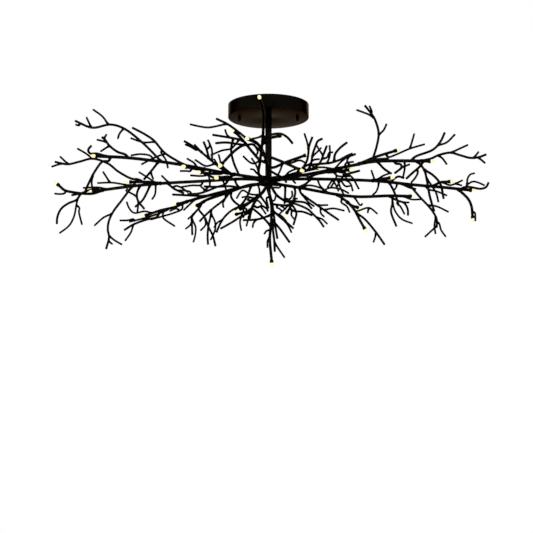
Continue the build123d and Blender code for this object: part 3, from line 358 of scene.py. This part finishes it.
# %% Bars of a node
def read_bars(node):
    """Axis points and end radii of every bar in a node, each starting from the bar's first end face.

    An axis point is the mean of a ring. A radius is that of the circle with the area of the end's polygon.
    """
    points, triangles, face = welded_copy(nodes[node].data)
    bar = connected(triangles, len(points))
    # The walk starts from the first end face: end faces are listed first, and no side has more triangles.
    face_size, face_bar = np.bincount(face)[face], bar[triangles[:, 0]]
    level = np.full(len(points), -1)
    for number in range(bar.max() + 1):
        own = face_bar == number
        first = face[own & (face_size == face_size[own].max())].min()
        level[triangles[face == first]] = 0
    depth = 0
    while (level == depth).any():
        reached = triangles[(level[triangles] == depth).any(axis=1)].ravel()
        level[reached[level[reached] < 0]] = depth + 1
        depth += 1
    bars = []
    for number in range(bar.max() + 1):
        rings = [points[(bar == number) & (level == k)] for k in range(level[bar == number].max() + 1)]
        axis = np.array([ring.mean(axis=0) for ring in rings])
        reach = [np.linalg.norm(ring - middle, axis=1).mean() for ring, middle in zip(rings, axis)]
        sides = len(rings[0])
        round_share = np.sqrt(sides * np.sin(2 * np.pi / sides) / (2 * np.pi))
        bars.append({"axis": axis, "ends": np.array([reach[0], reach[-1]]) * round_share})
    return bars


rods = []
for branch in branches:
    rods += [dict(bar, branch=branch, radius=bar["ends"].min()) for bar in read_bars("branch_" + branch)]
print("rods", len(rods), "radii mm", sorted({round(rod["radius"] / MM, 2) for rod in rods}))

# %% [markdown]
# ## Smooth paths
#
# Real twigs are bent cold and curve softly, so each axis becomes a smooth curve through the same points. A
# cubic curve with its slopes taken from the neighbouring points does that without swinging wide. Each rod
# then starts on the axis of the rod that carries it, so that the joint closes from every side.

# %% Smooth paths
def smooth_path(points, spacing):
    """A cubic curve through points at an even spacing: each span blends its two ends and their slopes.

    Time runs with the root of the distance between points, which keeps short spans from swinging wide.
    """
    gaps = np.linalg.norm(np.diff(points, axis=0), axis=1)
    time = np.r_[0, np.cumsum(np.sqrt(gaps))]
    slope = np.gradient(points, time, axis=0)
    count = max(3, int(np.ceil(gaps.sum() / spacing)) + 1)
    when = np.interp(np.linspace(0, gaps.sum(), count), np.r_[0, np.cumsum(gaps)], time)
    i = np.clip(np.searchsorted(time, when, side="right") - 1, 0, len(points) - 2)
    span = (time[i + 1] - time[i])[:, None]
    s = (when - time[i])[:, None] / span
    start = (2 * s ** 3 - 3 * s ** 2 + 1) * points[i] + (s ** 3 - 2 * s ** 2 + s) * span * slope[i]
    return start + (3 * s ** 2 - 2 * s ** 3) * points[i + 1] + (s ** 3 - s ** 2) * span * slope[i + 1]


# %% Paths of the rods
RING_SPACING = 3.0 * MM
HUB_BITE = 4.0 * MM
SEAT_ROOM = 1.0 * MM

hub_radius = (hub_high[0] - hub_low[0]) / 2
cap_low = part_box("hub_cap")[0][2] - SEAT_ROOM
for rod in rods:
    rod["path"] = smooth_path(rod["axis"], RING_SPACING)
all_points = np.concatenate([rod["path"] for rod in rods])
owner = np.repeat(np.arange(len(rods)), [len(rod["path"]) for rod in rods])
on_hub = 0
for number, rod in enumerate(rods):
    others = all_points[owner != number]
    foot = rod["axis"][0]
    gap = np.linalg.norm(others - foot, axis=1)
    beside_hub = np.hypot(foot[0], foot[1]) < hub_radius + SEAT_ROOM and cap_low < foot[2] < hub_high[2]
    lead = rod["axis"][1] - foot
    if beside_hub:
        rod["axis"][0] = foot - lead / np.linalg.norm(lead) * HUB_BITE
        on_hub += 1
    else:
        rod["axis"][0] = others[gap.argmin()]
    rod["foot_gap"] = gap.min()
    rod["path"] = smooth_path(rod["axis"], RING_SPACING)
widest = max(rod["foot_gap"] for rod in rods)
print("arms on the hub", on_hub, "widest foot gap mm", round(widest / MM, 2))

# %% [markdown]
# ## Branches
#
# A branch is a bundle of rods. Each rod is a circle carried along its path. Its radius flares at the foot,
# where the weld bead fills the corner, and eases over the cut end. Twigs thin out a little towards their
# ends. Rods and lamp cups stand 0.2 mm proud of the solids, as under a thick coat of enamel. That was
# chosen so that they look as heavy as the photographed ones.

# %% A circle along a path
def sweep(path, radius, sides):
    """A circle carried along a path: path + radius * circle, its axes taken from the path's flattest way."""
    ahead = np.gradient(path, axis=0)
    ahead = ahead / np.linalg.norm(ahead, axis=1)[:, None]
    flat = np.linalg.svd(path - path.mean(axis=0))[2][2]
    u = flat - (ahead @ flat)[:, None] * ahead
    u = u / np.linalg.norm(u, axis=1)[:, None]
    v = np.cross(ahead, u)
    angle = np.linspace(0, 2 * np.pi, sides, endpoint=False)[:, None]
    circle = np.cos(angle) * u[:, None] + np.sin(angle) * v[:, None]
    return path[:, None] + radius[:, None, None] * circle


# %% Branch rods
BEAD_SWELL = 0.45
BEAD_REACH = 1.1
TIP_THINNING = 0.04
TUBE_RADIUS = 2.6 * MM
END_EASE = np.array([0.35, 0.12, 0.0])
END_RADII = (0.93, 0.72)
END_ROOM = 1.5
TUBE_SIDES, TWIG_SIDES = 16, 12
COAT = 0.2 * MM


def rod_surface(rod):
    """The rod's rings: an even radius, a bead that decays from the foot, and a rounded cut end."""
    path, r = rod["path"], rod["radius"] + COAT
    is_tube = rod["radius"] > TUBE_RADIUS
    run = np.r_[0, np.cumsum(np.linalg.norm(np.diff(path, axis=0), axis=1))]
    end_ease = END_EASE * r
    run_at = np.r_[run[run < run[-1] - end_ease[0] * END_ROOM], run[-1] - end_ease]
    path = np.stack([np.interp(run_at, run, path[:, k]) for k in range(3)], axis=1)
    bead = 1 + BEAD_SWELL * np.exp(-np.maximum(run_at - rod["foot_gap"], 0) / (BEAD_REACH * r))
    thin = np.ones(len(run_at)) if is_tube else 1 - TIP_THINNING * run_at / run_at[-1]
    radius = r * bead * thin
    radius[-2:] *= END_RADII
    return sweep(path, radius, TUBE_SIDES if is_tube else TWIG_SIDES)


for branch in branches:
    stacks = [rod_surface(rod) for rod in rods if rod["branch"] == branch]
    make_piece("rods_" + branch, stacks, branch_enamel, "branch_" + branch)
print("branches", len(branches), "rods", len(rods))

# %% [markdown]
# ## Lamps
#
# Every wired tube ends in a small turned cup that holds a resin lens. The cup has a stepped neck and a
# rounded lip, the lens is a short cylinder with a domed end. Both are profiles turned about the axis that
# the frame gives.

# %% Which way a lamp points
LAMP_SIDES = 20
tube_tips = np.array([rod["axis"][-1] for rod in rods])


def pointed_away(bar, anchors):
    """A bar's start, direction and length, with its start at the end nearer to the anchors."""
    ends = bar["axis"][[0, -1]]
    near = [np.linalg.norm(anchors - end, axis=1).min() for end in ends]
    start, stop = ends if near[0] <= near[1] else ends[::-1]
    length = np.linalg.norm(stop - start)
    return start, (stop - start) / length, length


# %% Sockets and lenses
# Profiles as shares of the length and of the radius.
CUP = [(0.0, 0.78), (0.05, 0.86), (0.2, 0.88), (0.24, 0.97), (0.3, 1.0), (0.88, 1.0), (0.95, 0.98),
       (1.0, 0.9), (1.0, 0.76), (0.93, 0.72), (0.9, 0.5)]
LENS_FOOT = [(-0.06, 0.86), (0.0, 0.94), (0.05, 1.0), (0.3, 1.0)]
LENS_TIP = [(1.0, 0.08)]
DOME_START, DOME_RINGS = 0.45, 8


def socket_cup(bar):
    """A cup's rings and its mouth: neck, shoulder, straight barrel, rounded lip and a shallow well."""
    start, direction, length = pointed_away(bar, tube_tips)
    shape = np.array(CUP) * (length, bar["ends"].max() + COAT)
    return turned(start, direction, shape, LAMP_SIDES), start + direction * length


def lens_dome(bar, mouths):
    """A lens's rings and the share along it: a straight foot, then a dome that follows a quarter ellipse."""
    start, direction, length = pointed_away(bar, mouths)
    swing = np.linspace(0, np.pi / 2, DOME_RINGS, endpoint=False)
    dome = np.stack([DOME_START + (1 - DOME_START) * np.sin(swing), np.cos(swing)], axis=1)
    shape = np.concatenate([LENS_FOOT, dome, LENS_TIP])
    share = np.repeat(shape[:, :1], LAMP_SIDES, axis=1)
    return turned(start, direction, shape * (length, bar["ends"].max()), LAMP_SIDES), share


lamps = 0
for branch in branches:
    cups, mouths = zip(*(socket_cup(bar) for bar in read_bars("sockets_" + branch)))
    make_piece("cups_" + branch, cups, branch_enamel, "sockets_" + branch)
    domes, shares = zip(*(lens_dome(bar, np.array(mouths)) for bar in read_bars("lenses_" + branch)))
    make_piece("domes_" + branch, domes, lens_resin, "lenses_" + branch, along=shares)
    lamps += len(domes)
print("lamps", lamps)

# %% [markdown]
# ## Canopy, stem and hub
#
# These are turned or spun pieces, and a profile turned about the stem's axis gives each of them. On a piece
# with a hole through it, the profile runs round the whole wall, outside and inside, and closes on itself,
# so that the wall has its real thickness. On a piece without one it runs from the axis to the axis. The hub
# has a blind socket in its top, where the foot of the stem stands. Small rounded edges catch the light.
# From here on, profiles are in millimetres.

# %% Turned profiles
UP = np.array([0, 0, 1.0])
TURNED_SIDES = 128
PIPE_SIDES = 48
BEND_STEPS = 5


def rounded(corners, radii):
    """A closed profile with rounded corners: corner + (1 - s) squared * back + s squared * ahead."""
    corners, radii = np.asarray(corners, float), np.asarray(radii, float)
    back, ahead = np.roll(corners, 1, axis=0) - corners, np.roll(corners, -1, axis=0) - corners
    back = back / np.linalg.norm(back, axis=1)[:, None] * radii[:, None]
    ahead = ahead / np.linalg.norm(ahead, axis=1)[:, None] * radii[:, None]
    s = np.linspace(0, 1, BEND_STEPS)[None, :, None]
    bend = corners[:, None] + (1 - s) ** 2 * back[:, None] + s ** 2 * ahead[:, None]
    return bend.reshape(-1, 2)


def turned_piece(name, node, corners, radii, finish, bored, sides=TURNED_SIDES):
    """A rounded profile turned about the stem's axis, from corners of height and radius in millimetres.

    A bored piece is a wall closed on itself. Any other runs from the axis back to the axis.
    """
    profile = rounded(np.asarray(corners) * MM, np.asarray(radii) * MM)
    if not bored:
        profile = profile[BEND_STEPS - 1:1 - BEND_STEPS]
    make_piece(name, [turned(np.zeros(3), UP, profile, sides)], finish, node, closed=bored)


def span_mm(node):
    """A node's low and high corner in millimetres."""
    low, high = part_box(node)
    return np.array(low) / MM, np.array(high) / MM


# %% Canopy and stem
CLEARANCE = 0.1
CANOPY_WALL = 1.2
STEM_WALL = 1.8

low, high = span_mm("canopy")
edge, inner_edge = high[0], high[0] - CANOPY_WALL
floor_top = low[2] + CANOPY_WALL
hole = span_mm("stem_nipple")[1][0] + CLEARANCE
turned_piece("canopy_pan", "canopy",
             [(low[2], hole), (low[2], edge), (high[2], edge), (high[2], inner_edge),
              (floor_top, inner_edge), (floor_top, hole)],
             [0.1, 1.7, 0.4, 0.4, 0.8, 0.1], canopy_enamel, bored=True)

low, high = span_mm("stem_tube")
stem_foot, stem_r = low[2], high[0]
bore = stem_r - STEM_WALL
turned_piece("stem_pipe", "stem_tube",
             [(stem_foot, stem_r), (high[2], stem_r), (high[2], bore), (stem_foot, bore)],
             [0.3, 0.3, 0.3, 0.3], branch_enamel, bored=True, sides=PIPE_SIDES)
print("canopy hole mm", round(2 * hole, 1), "stem bore mm", round(2 * bore, 1))

# %% Hub and cap
# The flat middle of an end, which closes the profile at the axis.
AXIS = 0.4

low, high = span_mm("hub")
socket = stem_r + CLEARANCE
turned_piece("hub_drum", "hub",
             [(low[2], AXIS), (low[2], high[0]), (high[2], high[0]), (high[2], socket),
              (stem_foot, socket), (stem_foot, AXIS)],
             [0.1, 1.8, 2.4, 0.4, 0.2, 0.1], branch_enamel, bored=False)
print("hub socket depth mm", round(high[2] - stem_foot, 1))

low, high = span_mm("hub_cap")
turned_piece("hub_finial", "hub_cap",
             [(low[2], AXIS), (low[2], high[0]), (high[2], high[0]), (high[2], AXIS)],
             [0.1, 1.5, 0.6, 0.1], branch_enamel, bored=False)

# %% [markdown]
# ## Nuts, studs and nipple
#
# A hexagon is a ring too: its reach at each angle is half the width over flats divided by the cosine of the
# angle from the nearest flat. Taking the smaller of that and a circle cuts the corners as a nut's chamfer
# does, and a dome for the circle gives an acorn nut. A thread is a ring whose reach rises and falls in a
# wave that climbs by one pitch a turn.

# %% Rings of fixings
FIXING_SIDES = 48
CREASE = 35
around = np.linspace(0, 2 * np.pi, FIXING_SIDES, endpoint=False)


def upright_rings(x, heights, reach):
    """Rings about an upright axis at x: (x, 0, height) + reach * circle, a reach for each angle, in mm."""
    heights, reach = np.asarray(heights, float), np.asarray(reach, float)
    circle = np.stack([np.cos(around), np.sin(around), 0 * around], axis=1)
    return ((x, 0, 0) + heights[:, None, None] * UP + reach[:, :, None] * circle) * MM


def hexagon(flats):
    """Reach of a hexagon: half the flats over the cosine of the angle from the nearest flat."""
    return flats / 2 / np.cos((around + np.pi / 6) % (np.pi / 3) - np.pi / 6)


def rounds(radii):
    """Plain circular rings, one for each radius."""
    return np.asarray(radii, float)[:, None] * np.ones(FIXING_SIDES)


# %% Threads and nuts
THREAD_DEPTH, RINGS_PER_PITCH = 0.6, 6
CHAMFER_FACE, CHAMFER_RINGS = 0.97, 5


def threaded(low, high, crest, pitch):
    """Heights and reach of a thread: a triangle wave that climbs one pitch a turn, bevelled at both ends."""
    heights = np.linspace(low, high, int((high - low) / pitch * RINGS_PER_PITCH) + 1)
    wave = np.abs(2 * ((heights[:, None] / pitch - around / (2 * np.pi)) % 1) - 1)
    from_end = np.minimum(heights - low, high - heights)[:, None]
    depth = THREAD_DEPTH * pitch
    root = crest - depth
    return heights, np.minimum(root + depth * wave, root + from_end)


def nut_rings(low, high, flats, chamfer):
    """Outer rings of a nut: the smaller of a hexagon and a circle that widens from each face like a cone."""
    share = np.linspace(0, 1, CHAMFER_RINGS)
    limit = flats / 2 * (CHAMFER_FACE + (2 / np.sqrt(3) - CHAMFER_FACE) * share)
    heights = np.r_[low + chamfer * share, high - chamfer * share[::-1]]
    return heights, np.minimum(hexagon(flats), np.r_[limit, limit[::-1]][:, None])


# %% Studs and their lock nuts
STUD_PITCH = 0.7
STUD_CHAMFER = 0.5

low, high = span_mm("canopy_studs")
stud_r = (high[1] - low[1]) / 2
stud_x, stud_foot = high[0] - stud_r, low[2]
heights, reach = threaded(low[2], high[2], stud_r, STUD_PITCH)
shapes = [upright_rings(x, heights, reach) for x in (-stud_x, stud_x)]
make_piece("threaded_studs", shapes, plated_steel, "canopy_studs")

low, high = span_mm("stud_nuts")
flats = (high[1] - low[1]) * np.cos(np.pi / 6)
heights, reach = nut_rings(low[2], high[2], flats, STUD_CHAMFER)
heights, reach = np.r_[heights, high[2], low[2]], np.r_[reach, rounds([stud_r, stud_r])]
shapes = [upright_rings(x, heights, reach) for x in (-stud_x, stud_x)]
make_piece("locking_nuts", shapes, plated_steel, "stud_nuts", closed=True, crease=CREASE)
print("stud spacing mm", round(2 * stud_x, 1), "nut flats mm", round(flats, 1))

# %% Acorn nuts
ACORN_SHARE = 0.42
ACORN_RADIUS = 0.45
POLE = 0.08
STUD_ROOM = 0.4

low, high = span_mm("cap_nuts")
flats = (high[1] - low[1]) * np.cos(np.pi / 6)
shoulder = low[2] + ACORN_SHARE * (high[2] - low[2])
swing = np.linspace(POLE, np.pi / 2, 10)
dome = shoulder - (shoulder - low[2]) * np.cos(swing)
heights, reach = nut_rings(shoulder, high[2], flats, STUD_CHAMFER)
# From the top face the profile goes down into a blind bore, a little below the foot of the stud.
heights = np.r_[dome, heights, high[2], stud_foot - STUD_ROOM]
reach = np.r_[rounds(ACORN_RADIUS * flats * np.sin(swing)), reach, rounds([stud_r + CLEARANCE] * 2)]
shapes = [upright_rings(x, heights, reach) for x in (-stud_x, stud_x)]
make_piece("acorn_nuts", shapes, branch_enamel, "cap_nuts", crease=CREASE)
print("acorn nut height mm", round(high[2] - low[2], 1))

# %% Nipple and its flanged nut
NIPPLE_PITCH = 1.0
NIPPLE_BORE = 6.4
NUT_FLATS = 14.0
NUT_CHAMFER = 0.9
FLANGE = 1.6
FLANGE_FOOT_EASE, FLANGE_TOP_EASE = 0.3, 0.4

low, high = span_mm("stem_nipple")
nipple_r = high[0]
heights, reach = threaded(low[2], high[2], nipple_r, NIPPLE_PITCH)
heights, reach = np.r_[heights, high[2], low[2]], np.r_[reach, rounds([NIPPLE_BORE / 2] * 2)]
shape = upright_rings(0, heights, reach)
make_piece("threaded_nipple", [shape], plated_steel, "stem_nipple", closed=True)

low, high = span_mm("nipple_nut")
flange_top = low[2] + FLANGE
heights, reach = nut_rings(flange_top, high[2], NUT_FLATS, NUT_CHAMFER)
flange_z = [low[2], low[2] + FLANGE_FOOT_EASE, flange_top - FLANGE_TOP_EASE, flange_top]
flange_r = high[0] - np.array([FLANGE_FOOT_EASE, 0, 0, FLANGE_TOP_EASE])
heights = np.r_[flange_z, heights, high[2], low[2]]
reach = np.r_[rounds(flange_r), reach, rounds([nipple_r, nipple_r])]
shape = upright_rings(0, heights, reach)
make_piece("flanged_nut", [shape], plated_steel, "nipple_nut", closed=True, crease=CREASE)
print("nipple mm", round(2 * nipple_r, 1), "flange mm", round(2 * high[0], 1))

# %% [markdown]
# ## Crossbar, earth screw and lamp driver
#
# The crossbar is a stamped strip, and the solid already has its slots and holes, so it stays. Its triangles
# are joined to whole faces first, because a bevel runs clean only along the edges of whole faces. The earth
# screw has a round head with a slot. The driver is a moulded case: a rounded rectangle carried upwards,
# with a groove where the lid meets the case and a soft top edge.

# %% Crossbar
EASE = 0.35 * MM
EASE_ANGLE = np.radians(50)

crossbar = nodes["mounting_crossbar"]
crossbar.data.materials[0] = plated_steel
crossbar.modifiers.new("join", "WELD").merge_threshold = WELD_DISTANCE
crossbar.modifiers.new("whole_faces", "DECIMATE").decimate_type = "DISSOLVE"
ease = crossbar.modifiers.new("ease", "BEVEL")
ease.width, ease.segments, ease.limit_method, ease.angle_limit = EASE, 2, "ANGLE", EASE_ANGLE
crossbar.modifiers.new("flat_faces", "WEIGHTED_NORMAL").weight = 100
print("crossbar modifiers", [modifier.name for modifier in crossbar.modifiers])

# %% Earth screw
FACE_RINGS, EDGE_RINGS = 9, 5
FACE_POLE, FACE_SHARE, SHANK_SHARE = 0.02, 0.8, 0.5
SLOT_WIDTH, SLOT_DEPTH, SLOT_EDGE = 1.2, 1.0, 0.3
HEAD_FLOOR = 0.6

low, high = span_mm("earth_screw")
head_r = (high[1] - low[1]) / 2
bar_low = span_mm("mounting_crossbar")[0][2]
face_r = np.linspace(FACE_POLE, FACE_SHARE, FACE_RINGS)
swing = np.linspace(0, np.pi / 2, EDGE_RINGS + 1)[1:]
edge_r = FACE_SHARE + (1 - FACE_SHARE) * np.sin(swing)
edge_z = low[2] + (bar_low - low[2]) * (1 - np.cos(swing))
heights = np.r_[np.full(FACE_RINGS, low[2]), edge_z, bar_low, high[2]]
reach = rounds(np.r_[face_r, edge_r, SHANK_SHARE, SHANK_SHARE] * head_r)
screw = upright_rings((low[0] + high[0]) / 2, heights, reach)
# The slot is a channel across the head: points within its width sink, those at its edge part of the way.
head = screw[:FACE_RINGS + EDGE_RINGS]
in_slot = np.clip(((SLOT_WIDTH + SLOT_EDGE) / 2 - np.abs(head[:, :, 1]) / MM) / SLOT_EDGE, 0, 1)
head[:, :, 2] += in_slot * np.clip((bar_low - HEAD_FLOOR) * MM - head[:, :, 2], 0, SLOT_DEPTH * MM)
make_piece("slotted_earth_screw", [screw], earth_paint, "earth_screw", crease=CREASE)
print("screw head mm", round(2 * head_r, 1))


# %% Lamp driver
CASE_CORNER, SHARPEST_CORNER = 3.0, 0.8
CORNER_STEPS = 6
TOP_EDGE = 1.4
FOOT_EDGE = 0.5
LID_SHARE = 0.68
GROOVE_DEPTH = 0.6
GROOVE_EDGES = np.array([-0.5, -0.2, 0.2, 0.5])


def rounded_rectangle(half_x, half_y, corner):
    """Points of a rounded rectangle: each corner's centre plus a quarter circle."""
    quarter = np.linspace(0, np.pi / 2, CORNER_STEPS)
    angle = (np.arange(4)[:, None] * np.pi / 2 + quarter).ravel()
    side = np.repeat([(1, 1), (-1, 1), (-1, -1), (1, -1)], CORNER_STEPS, axis=0)
    centre = side * (half_x - corner, half_y - corner)
    return centre + corner * np.stack([np.cos(angle), np.sin(angle)], axis=1)


low, high = span_mm("lamp_driver")
middle, half = (low + high) / 2, (high - low) / 2
seam = low[2] + LID_SHARE * (high[2] - low[2])
swing = np.linspace(0, np.pi / 2, CORNER_STEPS)
inset = np.r_[FOOT_EDGE, 0, 0, GROOVE_DEPTH, GROOVE_DEPTH, 0, TOP_EDGE * (1 - np.cos(swing)), CASE_CORNER]
top_z = high[2] - TOP_EDGE + TOP_EDGE * np.sin(swing)
heights = np.r_[low[2], low[2] + FOOT_EDGE, seam + GROOVE_EDGES, top_z, high[2]]
rings = []
for depth, z in zip(inset, heights):
    corner = max(CASE_CORNER - depth, SHARPEST_CORNER)
    ring = rounded_rectangle(half[0] - depth, half[1] - depth, corner) + middle[:2]
    rings.append(np.c_[ring, np.full(len(ring), z)])
make_piece("driver_case", [np.array(rings) * MM], driver_abs, "lamp_driver", crease=CREASE)
print("driver case mm", np.round(2 * half, 1))

# %% [markdown]
# ## Light and floor
#
# The photograph is a cut-out on white. Camera, glossy and transmission rays see a white world, while the
# rest of the light is a plain soft studio: a broad key low at the front left, a weaker fill from the right
# and a pale floor a room's height below, which throws light up on the canopy's underside.

# %% White world
AMBIENT = 0.8

world = bpy.data.worlds.new("studio")
bpy.context.scene.world = world
world.use_nodes = True
tree = world.node_tree
tree.nodes.clear()
rays = add(tree, "ShaderNodeLightPath", {})
seen = rays.outputs["Is Camera Ray"]
for kind in ("Is Glossy Ray", "Is Transmission Ray"):
    either = add(tree, "ShaderNodeMath", {"operation": "MAXIMUM"}, [(0, seen), (1, rays.outputs[kind])])
    seen = either.outputs["Value"]
soft = add(tree, "ShaderNodeBackground", {"Color": linear("#ffffff"), "Strength": AMBIENT})
white = add(tree, "ShaderNodeBackground", {"Color": linear("#ffffff"), "Strength": 1.0})
blend = add(tree, "ShaderNodeMixShader", {},
            [("Fac", seen), (1, soft.outputs["Background"]), (2, white.outputs["Background"])])
add(tree, "ShaderNodeOutputWorld", {}, [("Surface", blend.outputs["Shader"])])
print("world", world.name, "ambient", AMBIENT)

# %% Floor
FLOOR_DROP = 2.7
FLOOR_SIZE = 120.0

half = FLOOR_SIZE / 2
corners = [(x * half, y * half, -FLOOR_DROP) for x, y in ((-1, -1), (1, -1), (1, 1), (-1, 1))]
floor_mesh = bpy.data.meshes.new("studio_floor")
floor_mesh.from_pydata(corners, [], [(0, 1, 2, 3)])
floor = bpy.data.objects.new("studio_floor", floor_mesh)
bpy.context.scene.collection.objects.link(floor)
floor_mesh.materials.append(speckled("pale_floor", "#e9e9e7", "#efefed", 40, {"Roughness": 0.9}, 0.05))
print("floor", FLOOR_DROP, "m below the ceiling")


# %% Softboxes
def softbox(name, place, size, watts):
    """A square area light that faces the hub: it looks along the hub's centre minus its own place."""
    data = bpy.data.lights.new(name, "AREA")
    data.size, data.energy = size, watts
    light = bpy.data.objects.new(name, data)
    light.location = place
    light.rotation_euler = Vector(hub_centre - np.array(place)).to_track_quat("-Z", "Y").to_euler()
    bpy.context.scene.collection.objects.link(light)


softbox("key_softbox", (-1.6, -2.2, -1.0), 1.4, 26)
softbox("fill_softbox", (2.0, -1.6, -0.7), 1.6, 12)
bpy.context.scene.view_settings.view_transform = "Standard"
print("softboxes", len(bpy.data.lights))
